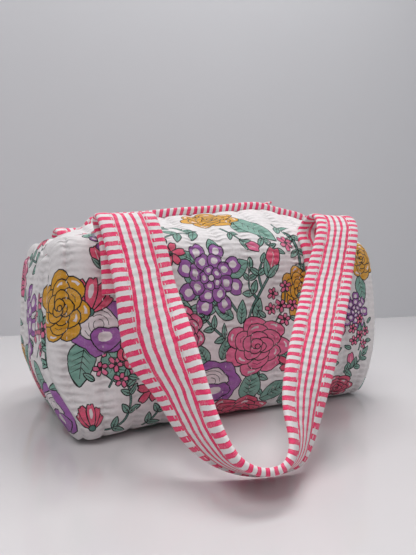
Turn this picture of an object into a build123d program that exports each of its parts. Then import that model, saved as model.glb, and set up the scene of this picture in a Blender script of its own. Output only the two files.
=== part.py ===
from build123d import *
import os
from math import cos, radians, sin

# Quilted cotton makeup bag: a soft duffle with a zip along its top and two striped handles.
# Millimetres. X runs along the zip, -Y is the front, +Z is up, origin under the middle of the base.

# body
half_length = 112.0        # middle of the bag to an end seam
end_bulge = 16.0           # how far each end panel swells past its seam
half_depth = 68.0          # at the widest height
end_squeeze = 4.0          # how much slimmer the depth is at the end seams
base_half = 40.0           # flat of the base, from the middle
belly_z = 62.0             # height of the widest place
shoulder_in = 10.0         # how far inside the widest place the shoulder is
shoulder_z = 118.0
slot_half = 11.0           # half of the gap that the zip fills
left_end_z = 120.0         # height of the zip line at the left end seam
left_slump_x = -90.0       # where the zip line turns down to the left end seam
left_slump_z = 130.8
crown_x = 46.0             # where the zip line is highest
crown_z = 148.0
slump_x = 88.0             # where the zip line turns down to the right end seam
slump_z = 141.0
right_end_z = 131.0
full_x = 12.0              # an end seam to the place where the bag has its whole depth

# cloth
quilt = 2.5                # quilted panel
lining = 1.0
layer_gap = 0.6            # between the layers
lining_in = quilt + layer_gap
inside = lining_in + lining
seam_width = 6.0           # bound seam allowance inside the bag
seam_height = 7.0

# zip
zip_half = 100.0           # middle of the bag to each end of the coils
binding_thick = 5.0        # striped binding on each edge of the slot
binding_high = 6.0
tape_thick = 0.8
tape_drop = 0.9            # top of the tape below the slot's edge
coil_inner = 0.6
coil_outer = 2.2
coil_high = 1.8
stop_length = 2.5

# slider, pull and tab
slider_x = 38.0            # where the slider stands
slider_length = 11.0
slider_half_width = 3.9
plate_thick = 1.2
run_gap = 0.3              # slider to tape and coils
post_half = 0.3
crown_high = 3.4           # crown over the top plate
crown_half = 1.1
crown_bar = 1.2
pull_length = 12.0         # hinge pin to the end of the metal
pull_half = 2.8
pull_thick = 1.2
pin_radius = 0.8
side_gap = 0.25            # crown to the arms of the pull
tab_length = 13.0
tab_half = 3.8
tab_thick = 2.0
tab_rise = 12.0            # degrees that the cotton tab stands up from the pull

# handles
strap_width = 36.0
strap_thick = 3.0
edge_width = 8.5           # striped binding on each edge of a strap
strap_gap = 0.3            # sewn strap to panel, and fold to fold
sewn_foot_z = 86.0         # lower end of the sewn part
left_strap_x = -79.0
right_strap_x = 66.0
fold_gap = 0.25            # hinge line of a fold to the strap's face
handle_lean = 44.0         # degrees below level that a resting handle leaves its fold

os.makedirs("parts", exist_ok=True)

stations = (-half_length, full_x - half_length, left_slump_x, crown_x, slump_x, half_length)
ridge_slope = (crown_z - left_slump_z) / (crown_x - left_slump_x)


def ridge(x):
    """Height of the zip line."""
    if x <= left_slump_x:
        return left_end_z + (left_slump_z - left_end_z) * (x + half_length) / (left_slump_x + half_length)
    if x <= crown_x:
        return crown_z + ridge_slope * (x - crown_x)
    if x <= slump_x:
        return crown_z + (slump_z - crown_z) * (x - crown_x) / (slump_x - crown_x)
    return slump_z + (right_end_z - slump_z) * (x - slump_x) / (half_length - slump_x)


def depth_at(x):
    """Half of the depth, slimmer towards the end seams."""
    near_end = max(0.0, abs(x) - half_length + full_x) / full_x
    return half_depth - end_squeeze * near_end


def wall_points(depth, height, inset):
    """Front wall's outline at an inset: base corner, widest height, shoulder, slot's edge."""
    wide, high = depth - inset - base_half, belly_z - inset
    steps = [radians(22.5 * n) for n in range(5)]
    corner = [(-base_half - wide * sin(a) ** 0.8, belly_z - high * cos(a) ** 0.8) for a in steps]
    upper = [
        (-depth + 2.2 + inset, 92.0 - 0.1 * inset),
        (-depth + shoulder_in + 0.8 * inset, shoulder_z - 0.6 * inset),
        (-36.0 + 0.3 * inset, shoulder_z + 0.62 * (height - shoulder_z) - 0.95 * inset),
        (-slot_half, height - inset),
    ]
    return corner + upper


def half_wall(x, outer, inner, flip=1):
    """Half of a wall's section at x, between two insets: the front half, or with flip -1 the back."""
    with BuildSketch(Plane.YZ.offset(x)) as section:
        with BuildLine():
            for inset in (outer, inner):
                points = [(flip * y, z) for y, z in wall_points(depth_at(x), ridge(x), inset)]
                Line((0, inset), points[0])
                Spline(*points)
            Line((0, outer), (0, inner))
            slot_edge = -flip * slot_half
            Line((slot_edge, ridge(x) - outer), (slot_edge, ridge(x) - inner))
        make_face()
    return section.sketch


def closed_section(x, height, inset, scale_by):
    """Whole section at x, for the end panels, shrunk about the belly."""
    points = wall_points(half_depth - end_squeeze, height, inset)
    points = [(y * scale_by, belly_z + (z - belly_z) * scale_by) for y, z in points]
    other = [(-y, z) for y, z in points]
    with BuildSketch(Plane.YZ.offset(x)) as section:
        with BuildLine():
            Spline(*points)
            Spline(*other)
            Line(points[0], other[0])
            Line(points[-1], other[-1])
        make_face()
    return section.sketch


def dome(side, height, inset, rim, shrinks):
    """Sections of an end cap from its rim outwards: (distance past the rim, size)."""
    return [closed_section(side * (rim + out), height, inset, by) for out, by in shrinks]


def save(builder, label):
    builder.part.label = label
    export_step(builder.part, f"parts/{label}.step")


# front and back walls
for wall, outer, inner in (("panel", 0.0, quilt), ("lining", lining_in, inside)):
    for flip, name in ((1, "front"), (-1, "back")):
        with BuildPart() as wall_half:
            loft([half_wall(x, outer, inner, flip) for x in stations], ruled=True)
        save(wall_half, f"{name}_{wall}")

# end panels and their linings, with the bound seam inside
bulge_sizes = (1.0, 0.97, 0.86, 0.6)
for side, name, height in ((-1, "left", left_end_z), (1, "right", right_end_z)):
    for wall, outer, inner in (("end_panel", 0.0, quilt), ("end_lining", lining_in, inside)):
        shells = []
        for inset in (outer, inner):
            reach = end_bulge - inset
            shares = (0.0, 0.42, 0.8, 1.0)
            shells.append([(share * reach, by) for share, by in zip(shares, bulge_sizes)])
        with BuildPart() as end_wall:
            loft(dome(side, height, outer, half_length, shells[0]), ruled=True)
            loft(dome(side, height, inner, half_length, shells[1]), ruled=True, mode=Mode.SUBTRACT)
        save(end_wall, f"{name}_{wall}")
    seam_in = inside + layer_gap
    inner_face = side * half_length
    with BuildPart() as seam:
        loft([closed_section(x, height, seam_in, 1.0)
              for x in (inner_face, inner_face - side * seam_width)], ruled=True)
        loft([closed_section(x, height, seam_in + seam_height, 1.0)
              for x in (inner_face, inner_face - side * seam_width)], ruled=True, mode=Mode.SUBTRACT)
    save(seam, f"{name}_seam_binding")

# tape over the seam between front and back, along the base
with BuildPart() as base_tape:
    with Locations((0, 0, inside + layer_gap)):
        Box(2 * (half_length - seam_width - 1), 14, lining, align=(Align.CENTER, Align.CENTER, Align.MIN))
save(base_tape, "base_seam_tape")


def ridge_strip(x0, x1, y0, y1, low, high):
    """A strip along the zip line between two x, low and high above it."""
    places = [x0] + [x for x in stations if x0 < x < x1] + [x1]
    sections = []
    for x in places:
        with BuildSketch(Plane.YZ.offset(x)) as piece:
            with BuildLine():
                Polyline((y0, ridge(x) + low), (y1, ridge(x) + low), (y1, ridge(x) + high),
                         (y0, ridge(x) + high), close=True)
            make_face()
        sections.append(piece.sketch)
    return sections


# zip: bindings on the slot's edges, tapes, coils and stops
binding_in = slot_half - 0.2
tape_low = -tape_drop - tape_thick
tape_edge = coil_outer + 0.05
for flip, name in ((-1, "front"), (1, "back")):
    with BuildPart() as binding:
        span = sorted((flip * binding_in, flip * (binding_in - binding_thick)))
        loft(ridge_strip(-half_length, half_length, *span, -tape_drop + layer_gap, binding_high), ruled=True)
    save(binding, f"{name}_zip_binding")
    with BuildPart() as tape:
        span = sorted((flip * (slot_half - 0.1), flip * tape_edge))
        loft(ridge_strip(-half_length, half_length, *span, tape_low, -tape_drop), ruled=True)
    save(tape, f"{name}_zip_tape")
    coil_mid = -tape_drop - tape_thick / 2
    with BuildPart() as coil:
        span = sorted((flip * coil_inner, flip * coil_outer))
        loft(ridge_strip(-zip_half, zip_half, *span, coil_mid - coil_high / 2, coil_mid + coil_high / 2),
             ruled=True)
    save(coil, f"{name}_zip_coil")

coil_top = -tape_drop - tape_thick / 2 + coil_high / 2
coil_bottom = coil_top - coil_high
with BuildPart() as bottom_stop:
    loft(ridge_strip(-zip_half - stop_length, -zip_half, -coil_outer, coil_outer,
                     coil_bottom - 0.4, coil_top + 0.4), ruled=True)
save(bottom_stop, "zip_bottom_stop")
with BuildPart() as top_stops:
    for flip in (-1, 1):
        span = sorted((flip * coil_inner, flip * coil_outer))
        loft(ridge_strip(zip_half, zip_half + stop_length, *span, coil_bottom - 0.4, coil_top + 0.4),
             ruled=True)
save(top_stops, "zip_top_stops")

# slider: two plates on a post between the coils, and a crown for the pull
run = Plane(origin=(slider_x, 0, ridge(slider_x)), x_dir=(1, 0, ridge_slope), z_dir=(-ridge_slope, 0, 1))
top_plate = coil_top + run_gap
bottom_plate = coil_bottom - run_gap - plate_thick
with BuildPart(run) as slider_body:
    for level in (top_plate, bottom_plate):
        with BuildSketch(run.offset(level)):
            SlotCenterToCenter(slider_length - 2 * slider_half_width, 2 * slider_half_width)
        extrude(amount=plate_thick)
    with BuildSketch(run.offset(bottom_plate)):
        Rectangle(3.0, 2 * post_half)
    extrude(amount=top_plate - bottom_plate)
save(slider_body, "slider_body")

crown_base = top_plate + plate_thick
crown_span = slider_length - 2.5
with BuildPart() as slider_crown:
    with BuildSketch(Plane(origin=run.from_local_coords((0, crown_half, 0)), x_dir=run.x_dir, z_dir=-run.y_dir)):
        with BuildLine():
            FilletPolyline((-crown_span / 2, crown_base), (-crown_span / 2, crown_base + crown_high),
                           (crown_span / 2, crown_base + crown_high), (crown_span / 2, crown_base),
                           radius=1.6)
            Line((crown_span / 2, crown_base), (-crown_span / 2, crown_base))
        make_face()
        with BuildLine():
            inner_span = crown_span / 2 - crown_bar
            FilletPolyline((-inner_span, crown_base), (-inner_span, crown_base + crown_high - crown_bar),
                           (inner_span, crown_base + crown_high - crown_bar), (inner_span, crown_base),
                           radius=0.8)
            Line((inner_span, crown_base), (-inner_span, crown_base))
        make_face(mode=Mode.SUBTRACT)
    extrude(amount=2 * crown_half)
save(slider_crown, "slider_crown")


# pull: a pin under the crown, two arms past it and a plate, then the cotton tab
pin_level = crown_base + (crown_high - crown_bar) / 2
arm_in = crown_half + side_gap
arm_reach = crown_span / 2 + crown_high / 2
pin_line = run.offset(pin_level)
with BuildPart() as pull:
    with BuildSketch(pin_line) as outline:
        with Locations((pull_length / 2, 0)):
            RectangleRounded(pull_length + 2 * pin_radius, 2 * pull_half, 0.7)
        with Locations(((arm_reach - pin_radius) / 2, 0)):
            Rectangle(arm_reach + pin_radius + 0.4, 2 * arm_in, mode=Mode.SUBTRACT)
    extrude(amount=pull_thick / 2, both=True)
    with BuildSketch(Plane(origin=pin_line.origin, x_dir=run.x_dir, z_dir=-run.y_dir)):
        Circle(pin_radius)
    extrude(amount=arm_in, both=True)
save(pull, "zip_pull")

tab_start = pull_length + pin_radius
tab_plane = Plane(origin=pin_line.from_local_coords((tab_start, 0, 0)), x_dir=run.x_dir, z_dir=-run.y_dir)
rise = radians(tab_rise)
with BuildPart() as tab:
    with BuildSketch(tab_plane):
        with BuildLine():
            Polyline((0, -tab_thick / 2), (tab_length * cos(rise), tab_length * sin(rise) - tab_thick / 2),
                     (tab_length * cos(rise), tab_length * sin(rise) + tab_thick / 2), (0, tab_thick / 2),
                     close=True)
        make_face()
    extrude(amount=tab_half, both=True)
save(tab, "pull_tab")

# sewn ends of the straps: a core and two edge bindings that follow the front from foot to shoulder
strap_in, strap_out = -strap_gap, -strap_gap - strap_thick
edge_share = edge_width / strap_width
shoulder_index = 6
fold_outer = wall_points(half_depth, shoulder_z, strap_out)[shoulder_index]
fold_inner = wall_points(half_depth, shoulder_z, strap_in)[shoulder_index]


def sewn_section(x):
    """Section of a sewn strap at x."""
    with BuildSketch(Plane.YZ.offset(x)) as section:
        with BuildLine():
            for inset in (strap_out, strap_in):
                points = wall_points(depth_at(x), ridge(x), inset)
                Line((0, inset), points[0])
                Spline(*points)
            Line((0, strap_out), (0, strap_in))
            Line((-slot_half, ridge(x) - strap_out), (-slot_half, ridge(x) - strap_in))
        make_face()
        out_y, out_z = fold_outer
        in_y, in_z = fold_inner
        with BuildLine():
            Polyline((2 * out_y - in_y, 2 * out_z - in_z), (2 * in_y - out_y, 2 * in_z - out_z),
                     (2 * in_y - out_y, sewn_foot_z), (2 * out_y, sewn_foot_z), (2 * out_y, out_z),
                     close=True)
        make_face(mode=Mode.INTERSECT)
    return section.sketch


def both_sides(builder, name):
    """Saves a piece of the front, and its mirror image at the back."""
    save(builder, f"front_{name}")
    with BuildPart() as twin:
        add(mirror(builder.part, about=Plane.XZ))
    save(twin, f"back_{name}")


for side, middle in (("left", left_strap_x), ("right", right_strap_x)):
    edges = [middle + share * strap_width for share in (-0.5, edge_share - 0.5, 0.5 - edge_share, 0.5)]
    with BuildPart() as sewn_core:
        loft([sewn_section(x) for x in edges[1:3]], ruled=True)
    both_sides(sewn_core, f"{side}_strap_end")
    with BuildPart() as sewn_edges:
        loft([sewn_section(x) for x in edges[:2]], ruled=True)
        loft([sewn_section(x) for x in edges[2:]], ruled=True)
    both_sides(sewn_edges, f"{side}_strap_end_binding")

# free loops: each hangs from the hinge line of its folds, and twists to rest on its outer edge in front
fold_y, fold_z = fold_outer[0] - 0.8 * fold_gap, fold_outer[1] + 0.6 * fold_gap
lean = radians(handle_lean)
leave = Vector(0, -cos(lean), -sin(lean))
face_out = Vector(0, -sin(lean), cos(lean))
fold_line = Vector(0, fold_y, fold_z) + leave * fold_gap + face_out * (fold_gap + strap_thick / 2)
half = strap_width / 2

# from the left fold round to the right one: the inner edge, and the way to the outer edge
loop_route = [
    ((-62.5, -94.0, 90.0), (-34.0, -4.0, -6.0)),
    ((-64.5, -120.5, 66.0), (-27.0, 19.0, -14.0)),
    ((-66.5, -138.0, 48.0), (-14.0, 31.0, -12.0)),
    ((-67.5, -153.0, 32.5), (-5.0, 33.0, -14.0)),
    ((-65.5, -165.0, 22.0), (5.0, 32.0, -14.5)),
    ((-59.0, -170.5, 17.5), (13.0, 29.5, -14.5)),
    ((-51.0, -171.5, 16.5), (18.5, 27.0, -14.0)),
    ((-43.0, -168.5, 18.5), (24.0, 22.5, -14.0)),
    ((-37.5, -163.0, 24.0), (27.5, 19.5, -13.0)),
    ((-33.5, -153.0, 34.0), (32.5, 12.5, -10.0)),
    ((-22.0, -137.5, 50.0), (35.0, 4.0, -7.0)),
    ((-3.0, -119.0, 68.0), (35.5, -1.0, -5.0)),
    ((18.0, -99.5, 87.0), (35.5, -4.0, -2.0)),
]
inner_edge = [fold_line + Vector(left_strap_x + half, 0, 0)]
inner_edge += [Vector(*point) for point, way in loop_route]
inner_edge += [fold_line + Vector(right_strap_x - half, 0, 0)]
ways = [Vector(-1, 0, 0)] + [Vector(*way).normalized() for point, way in loop_route] + [Vector(1, 0, 0)]
ahead = [leave] + [after - before for before, after in zip(inner_edge, inner_edge[2:])] + [-leave]


def loop_sections(share0, share1):
    """Sections of a strip of the loop, between two shares of the strap's width."""
    sections = []
    for edge, way, onward in zip(inner_edge, ways, ahead):
        with BuildSketch(Plane(origin=edge, x_dir=way, z_dir=onward - way * onward.dot(way))) as section:
            with Locations(((share0 + share1) / 2 * strap_width, 0)):
                Rectangle((share1 - share0) * strap_width, strap_thick)
        sections.append(section.sketch)
    return sections


strips = (("handle_inner_binding", 0.0, edge_share), ("handle_core", edge_share, 1 - edge_share),
          ("handle_outer_binding", 1 - edge_share, 1.0))
for name, share0, share1 in strips:
    with BuildPart() as strip:
        loft(loop_sections(share0, share1), ruled=True)
    both_sides(strip, name)

print(f"fold hinge at y {fold_y:.3f} z {fold_z:.3f}")
print(f"slider run direction 1, 0, {ridge_slope:.6f} from z {ridge(slider_x):.3f}")
pin = pin_line.origin
print(f"pull hinge at {pin.X:.4f}, {pin.Y:.4f}, {pin.Z:.4f}")
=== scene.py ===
import math
import bmesh
import bpy
import numpy as np
from mathutils import Matrix, Vector, geometry


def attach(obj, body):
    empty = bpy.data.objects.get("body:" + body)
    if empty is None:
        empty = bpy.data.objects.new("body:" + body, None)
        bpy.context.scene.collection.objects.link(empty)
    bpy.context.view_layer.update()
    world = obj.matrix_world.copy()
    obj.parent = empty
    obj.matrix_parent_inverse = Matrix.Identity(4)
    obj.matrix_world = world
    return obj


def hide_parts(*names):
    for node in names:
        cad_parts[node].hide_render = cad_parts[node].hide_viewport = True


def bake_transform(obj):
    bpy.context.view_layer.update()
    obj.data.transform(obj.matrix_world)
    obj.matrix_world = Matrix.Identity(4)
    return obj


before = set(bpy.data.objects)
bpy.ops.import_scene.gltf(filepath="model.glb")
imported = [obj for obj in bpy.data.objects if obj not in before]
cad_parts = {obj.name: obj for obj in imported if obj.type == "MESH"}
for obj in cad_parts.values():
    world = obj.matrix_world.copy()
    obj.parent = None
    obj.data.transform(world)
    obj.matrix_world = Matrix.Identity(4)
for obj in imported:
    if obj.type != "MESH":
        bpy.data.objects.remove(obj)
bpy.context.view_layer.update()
bpy.ops.object.select_all(action="DESELECT")
mm = 0.001

# inks as they look on the cloth, and the plain cloths
inks = {
    "ground": (0.93, 0.91, 0.91), "pale": (0.92, 0.88, 0.89), "line": (0.05, 0.08, 0.08),
    "teal": (0.49, 0.67, 0.61), "deepTeal": (0.31, 0.49, 0.45), "purple": (0.63, 0.37, 0.67),
    "pink": (0.92, 0.43, 0.59), "coral": (0.90, 0.34, 0.47), "mustard": (0.88, 0.63, 0.14),
    "stripe": (0.97, 0.22, 0.44), "stripeEdge": (0.88, 0.13, 0.34), "thread": (0.90, 0.88, 0.88),
    "lining": (0.90, 0.87, 0.82), "seam": (0.88, 0.85, 0.83), "tape": (0.90, 0.40, 0.54),
    "coil": (0.90, 0.46, 0.58), "metal": (0.80, 0.74, 0.62), "tarnish": (0.46, 0.38, 0.28),
}


def linear(name):
    return tuple(channel ** 2.2 for channel in inks[name]) + (1.0,)


# the sewn bag in millimetres, on the frame's own sizes
bag = {
    "halfLength": 112.0, "endBulge": 16.0, "halfDepth": 68.0, "endSqueeze": 4.0, "baseHalf": 40.0,
    "bellyHeight": 62.0, "shoulderIn": 10.0, "shoulderHeight": 118.0, "slotHalf": 11.0,
    "ridgeAt": (-112.0, -90.0, 46.0, 88.0, 112.0), "ridgeHeight": (120.0, 130.8, 148.0, 141.0, 131.0),
    "quilt": 2.5, "liningAt": 3.1, "liningThick": 1.0, "rowPitch": 20.0, "rowStart": 4.0,
}
seamRun = {"left": 21.0, "right": 13.0}  # how far the front's cloth runs on round each end
stationAt = np.linspace(-bag["halfLength"], bag["halfLength"], 57)
sampleStep = 0.5


def ridge(x):
    near = np.asarray(x, float)[..., None] + np.linspace(-5.0, 5.0, 11)
    return np.interp(near, bag["ridgeAt"], bag["ridgeHeight"]).mean(axis=-1)


def smooth(value, low, high):
    t = np.clip((value - low) / (high - low), 0, 1)
    return t * t * (3 - 2 * t)


def chordKnots(points):
    return np.r_[0, np.cumsum(np.linalg.norm(np.diff(points, axis=0), axis=1))]


def naturalSpline(knots, points, at):
    gaps, count = np.diff(knots), len(knots)
    system, right = np.eye(count), np.zeros((count, points.shape[1]))
    for i in range(1, count - 1):
        system[i, i - 1:i + 2] = gaps[i - 1], 2 * (gaps[i - 1] + gaps[i]), gaps[i]
        right[i] = 6 * ((points[i + 1] - points[i]) / gaps[i] - (points[i] - points[i - 1]) / gaps[i - 1])
    bend = np.linalg.solve(system, right)
    i = np.clip(np.searchsorted(knots, at) - 1, 0, count - 2)
    gap, before, after = gaps[i][:, None], (knots[i + 1] - at)[:, None], (at - knots[i])[:, None]
    return ((bend[i] * before ** 3 + bend[i + 1] * after ** 3) / (6 * gap)
            + (points[i] / gap - bend[i] * gap / 6) * before
            + (points[i + 1] / gap - bend[i + 1] * gap / 6) * after)


def wallKeys(x, inset):
    near = np.clip((abs(x) - bag["halfLength"] + 12) / 12, 0, 1)
    depth, height = bag["halfDepth"] - bag["endSqueeze"] * near ** 2, float(ridge(x))
    turn = np.radians(22.5 * np.arange(5))
    wide, high = depth - inset - bag["baseHalf"], bag["bellyHeight"] - inset
    rise = height - bag["shoulderHeight"]
    y = list(-bag["baseHalf"] - wide * np.sin(turn) ** 0.8)
    z = list(bag["bellyHeight"] - high * np.abs(np.cos(turn)) ** 0.8)
    y += [-depth + 2.2 + inset, -depth + bag["shoulderIn"] + 0.8 * inset, -36 + 0.3 * inset, -bag["slotHalf"]]
    z += [92 - 0.1 * inset, bag["shoulderHeight"] - 0.6 * inset,
          bag["shoulderHeight"] + 0.62 * rise - 0.95 * inset, height - inset]
    return np.c_[y, z]


def wallSections(inset):
    middle = wallKeys(0.0, inset)
    knots = chordKnots(middle)
    fine = np.linspace(0, knots[-1], 2000)
    run = chordKnots(naturalSpline(knots, middle, fine))
    total = run[-1] + bag["baseHalf"]
    down = np.arange(0, total + sampleStep, sampleStep)
    along = np.interp(np.clip(total - down - bag["baseHalf"], 0, None), run, fine)
    flat = total - down < bag["baseHalf"]
    sections = []
    for x in stationAt:
        keys = wallKeys(x, inset)
        ownKnots = chordKnots(keys)
        section = naturalSpline(ownKnots, keys, np.interp(along, knots, ownKnots))
        section[flat] = np.c_[down[flat] - total, np.full(flat.sum(), inset)]
        sections.append(section)
    return np.array(sections), total


outerSections, wallLength = wallSections(0.0)
liningSections, liningLength = wallSections(bag["liningAt"])
print("sections ready, wall", round(wallLength, 1), "mm long")


def wallFlat(sections, x, v):
    across = np.clip((x - stationAt[0]) / (stationAt[1] - stationAt[0]), 0, len(stationAt) - 1.001)
    down = np.clip(v / sampleStep, 0, sections.shape[1] - 1.001)
    i, j = across.astype(int), down.astype(int)
    s, t = (across - i)[:, None], (down - j)[:, None]
    place = ((sections[i, j] * (1 - s) + sections[i + 1, j] * s) * (1 - t)
             + (sections[i, j + 1] * (1 - s) + sections[i + 1, j + 1] * s) * t)
    return np.c_[x, place]


# a domed end: rings of the end outline, drawn in along the dome's own length
def endOutline(side, inset):
    keys = wallKeys(side * bag["halfLength"], inset)
    knots = chordKnots(keys)
    half = naturalSpline(knots, keys, np.linspace(0, knots[-1], 90))
    top = np.c_[np.linspace(keys[-1, 0], -keys[-1, 0], 9)[1:-1], np.full(7, keys[-1, 1])]
    base = np.c_[np.linspace(bag["baseHalf"], -bag["baseHalf"], 25)[1:-1], np.full(23, inset)]
    return np.vstack([half, top, half[::-1] * (-1, 1), base])


# the left end has sagged: its bottom corner stands out forward and a little inward
sag = {"height": 45, "inward": 7, "inwardFrom": 88, "spread": 0.2, "spreadFrom": 60}


def settle(place):
    x, y, z = place.T
    low = 1 - smooth(z, 0, sag["height"])
    inward = sag["inward"] * smooth(-x, sag["inwardFrom"], bag["halfLength"]) * low
    spread = 1 + sag["spread"] * smooth(-x, sag["spreadFrom"], bag["halfLength"]) * low
    return np.c_[x + inward, y * spread, z]


# a dome bulges bluntly at mid height and more roundly at its top and bottom
dome = {"blunt": 6, "rounderTop": 2.8, "rounderBase": 3.4, "flatReach": 62}


def domePlace(side, inset):
    outline = endOutline(side, inset) - (0, bag["bellyHeight"])
    angle = np.arctan2(outline[:, 1], outline[:, 0])
    order = np.argsort(angle)
    angle, reach = angle[order], np.hypot(*outline.T)[order]
    share = np.linspace(0, 1, 800) ** 0.5
    bulge = np.sqrt(np.clip(1 - share ** dome["blunt"], 0, 1))
    steps = np.hypot(np.diff(share * dome["flatReach"]), np.diff(bulge) * (bag["endBulge"] - inset))
    run = np.r_[0, np.cumsum(steps)]
    extra = run[-1] - dome["flatReach"]

    def swell(size, direction):
        part = np.interp(size, run / run[-1], share)
        up, low = smooth(np.sin(direction), 0.2, 0.9), smooth(-np.sin(direction), 0.2, 0.9)
        blunt = dome["blunt"] - dome["rounderTop"] * up - dome["rounderBase"] * low
        return (bag["endBulge"] - inset) * np.sqrt(np.clip(1 - part ** blunt, 0, 1))

    def rim(direction):
        return np.interp(direction, angle, reach, period=2 * math.pi) + extra

    def bare(u, v):
        direction = np.arctan2(-v, side * u)
        size = np.hypot(u, v) / rim(direction)
        beyond = np.clip(size - 1, 0, 1)
        out = swell(size, direction) - beyond * dome["flatReach"]
        flat = np.interp(size, run / run[-1], share) * (rim(direction) - extra)
        return settle(np.c_[side * (bag["halfLength"] + out), flat * np.cos(direction),
                            bag["bellyHeight"] + flat * np.sin(direction)])

    def fromRim(place, past):
        y, z = place[:, 1], place[:, 2] - bag["bellyHeight"]
        direction = np.arctan2(z, y)
        edge = rim(direction)
        size = 1 - past / edge
        flat = np.interp(size, run / run[-1], share) * (edge - extra)
        out = swell(size, direction)
        return np.c_[side * (bag["halfLength"] + out), flat * np.cos(direction),
                     bag["bellyHeight"] + flat * np.sin(direction)]

    return bare, rim, fromRim


# every flat pattern has u to the right and v down as its cloth is seen from outside
def outward(place, u, v, step=0.6):
    normal = np.cross(place(u, v + step) - place(u, v - step), place(u + step, v) - place(u - step, v))
    return normal / np.maximum(np.linalg.norm(normal, axis=1), 1e-9)[:, None]


def lifted(bare, lift):
    def place(u, v):
        return bare(u, v) + outward(bare, u, v) * lift(u, v)[:, None]
    return place


def wallPlace(sections, side, inset):
    ends = {way: domePlace(way, inset)[2] for way in (-1, 1)}

    def bare(u, v):
        x = -side * u
        place = wallFlat(sections, np.clip(x, -112, 112), v) * (1, -side, 1)
        for way in (-1, 1):
            past = x * way > 112
            if past.any():
                place[past] = ends[way](place[past], np.abs(x[past]) - 112)
        return settle(place)
    return bare


def seamReach(way, v):
    return seamRun["left" if way < 0 else "right"] * smooth(v, 0, 26) * (1 - smooth(v, 120, 187))


def seamGap(x, v):
    return bag["halfLength"] + np.where(x < 0, seamReach(-1, v), seamReach(1, v)) - np.abs(x)


def strapZone(x, v):
    beside = [smooth(x, a - 6, a) * (1 - smooth(x, b, b + 6)) for a, b in ((-97, -61), (48, 84))]
    return (beside[0] + beside[1]) * smooth(v, 30, 40) * (1 - smooth(v, 92, 100))


def drape(x, v):
    edge = smooth(seamGap(x, v), 2, 20) * smooth(v, 4, 26) * (1 - smooth(v, 166, 184))
    roll = (1.2 * np.sin(x / 19 + 1.3 * np.sin(v / 41) + 0.7) * np.sin(v / 27 + 0.9)
            + 0.8 * np.sin(x / 11.3 - v / 24 + 2.1) + 0.5 * np.sin(x / 6.1 + v / 17 + 1.1 * np.sin(x / 23)))
    hollow = (2.0 * np.exp(-((x - 102) / 16) ** 2 - ((v - 66) / 26) ** 2)
              + 1.6 * np.exp(-((x + 100) / 13) ** 2 - ((v - 150) / 30) ** 2)
              + 1.6 * np.exp(-((x - 20) / 40) ** 2 - ((v - 32) / 12) ** 2))
    return (0.7 * roll - 0.5 - hollow) * edge * (1 - strapZone(x, v))


def quiltSkin(x, v):
    pitch = bag["rowPitch"]
    row = np.abs((x - bag["rowStart"] + pitch / 2) % pitch - pitch / 2)
    calm = 1 - strapZone(x, v)
    groove = -0.9 * np.exp(-(row / 1.9) ** 2)
    loft = 0.4 * np.sin(math.pi * np.clip(row / pitch, 0, 1)) * calm * (1 - smooth(v, 170, 184))
    pucker = 0.16 * np.sin(v * 1.42 + 1.5 * np.sin(x / 7) + 0.8 * np.sin(v / 9)) * np.exp(-(row / 6) ** 2) * calm
    gap = seamGap(x, v)
    seam = -1.4 * np.exp(-(gap / 2.4) ** 2)
    return np.minimum((groove + loft + pucker) * smooth(gap, 0, 6) + seam, np.where(v > 176, 0.0, 1.0))


def catmull(points, steps, closed=True):
    points = np.asarray(points, float)
    count = len(points)
    last = count if closed else count - 1
    index = np.arange(last)
    pick = (lambda k: points[k % count]) if closed else (lambda k: points[np.clip(k, 0, count - 1)])
    a, b, c, d = pick(index - 1), pick(index), pick(index + 1), pick(index + 2)
    rows = []
    for t in np.arange(steps) / steps:
        rows.append(0.5 * (2 * b + (c - a) * t + (2 * a - 5 * b + 4 * c - d) * t ** 2
                           + (3 * b - a - 3 * c + d) * t ** 3))
    out = np.stack(rows, axis=1).reshape(-1, points.shape[1])
    return out if closed else np.vstack([out, points[-1:]])


# block print: each shape is (outline in millimetres, ink), and later shapes cover earlier ones
printing = {"line": 0.72, "stem": 1.5, "vein": 0.6}


def turned(points, x, y, turn):
    c, s = math.cos(math.radians(turn)), math.sin(math.radians(turn))
    points = np.asarray(points, float)
    return np.c_[x + points[:, 0] * c - points[:, 1] * s, y + points[:, 0] * s + points[:, 1] * c]


def grown(points, by):
    before, after = np.roll(points, 1, axis=0), np.roll(points, -1, axis=0)
    way = after - before
    side = np.c_[way[:, 1], -way[:, 0]] / np.maximum(np.linalg.norm(way, axis=1), 1e-6)[:, None]
    area = 0.5 * np.sum(points[:, 0] * after[:, 1] - after[:, 0] * points[:, 1])
    return points + side * by * (1 if area > 0 else -1)


def inked(points, ink):
    return [(grown(points, printing["line"]), "line"), (points, ink)]


def ribbon(points, start, end, ink="line"):
    points = np.asarray(points, float)
    way = np.gradient(points, axis=0)
    side = np.c_[way[:, 1], -way[:, 0]] / np.maximum(np.linalg.norm(way, axis=1), 1e-6)[:, None]
    half = np.linspace(start, end, len(points))[:, None] / 2
    return [(np.vstack([points + side * half, (points - side * half)[::-1]]), ink)]


def stem(points, width=None):
    width = width or printing["stem"]
    path = catmull(points, 5, closed=False)
    return ribbon(path, width + 0.9, width + 0.5) + ribbon(path, width, width * 0.6, "deepTeal")


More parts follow.
